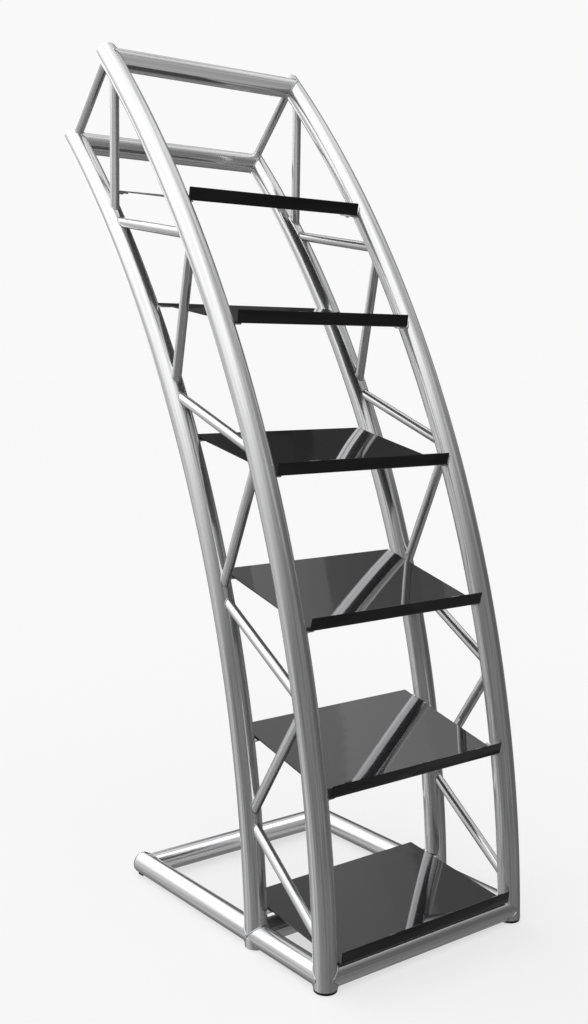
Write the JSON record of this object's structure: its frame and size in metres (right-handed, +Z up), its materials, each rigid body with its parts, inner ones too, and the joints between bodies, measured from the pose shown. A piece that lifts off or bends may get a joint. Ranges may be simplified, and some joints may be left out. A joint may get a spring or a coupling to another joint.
{
  "type": "catalogue stand",
  "caption": "Free-standing catalogue stand: a bent tube truss that leans back carries tilted black shelves with a front lip.",
  "frame": {"origin": "on the floor, under the middle of the stand's width and depth", "axes": "+Z up, -Y the front that a reader stands at, +X to the reader's right"},
  "size_m": [0.56, 1.0124, 1.878],
  "materials": {
    "polished_tube": "polished",
    "plug_metal": "satin",
    "black_enamel": "gloss",
    "black_plastic": "satin"
  },
  "bodies": {
    "root": {"left_front_post": "polished_tube", "left_rear_post": "polished_tube", "left_brace_0": "polished_tube", "left_brace_1": "polished_tube", "left_brace_2": "polished_tube", "left_brace_3": "polished_tube", "left_brace_4": "polished_tube", "left_brace_5": "polished_tube", "left_brace_6": "polished_tube", "left_brace_7": "polished_tube", "left_brace_8": "polished_tube", "left_rail_front": "polished_tube", "left_rail_rear": "polished_tube", "left_front_top_plug": "plug_metal", "left_rear_top_plug": "plug_metal", "left_rear_post_plug": "plug_metal", "left_front_foot": "black_plastic", "left_rail_cap": "black_plastic", "right_front_post": "polished_tube", "right_rear_post": "polished_tube", "right_brace_0": "polished_tube", "right_brace_1": "polished_tube", "right_brace_2": "polished_tube", "right_brace_3": "polished_tube", "right_brace_4": "polished_tube", "right_brace_5": "polished_tube", "right_brace_6": "polished_tube", "right_brace_7": "polished_tube", "right_brace_8": "polished_tube", "right_rail_front": "polished_tube", "right_rail_rear": "polished_tube", "right_front_top_plug": "plug_metal", "right_rear_top_plug": "plug_metal", "right_rear_post_plug": "plug_metal", "right_front_foot": "black_plastic", "right_rail_cap": "black_plastic", "top_front_crossbar": "polished_tube", "top_rear_crossbar": "polished_tube", "base_front_crossbar": "polished_tube", "base_middle_crossbar": "polished_tube", "base_rear_crossbar": "polished_tube", "shelf_1": "black_enamel", "shelf_2": "black_enamel", "shelf_3": "black_enamel", "shelf_4": "black_enamel", "shelf_5": "black_enamel", "shelf_6": "black_enamel"}
  },
  "joints": []
}
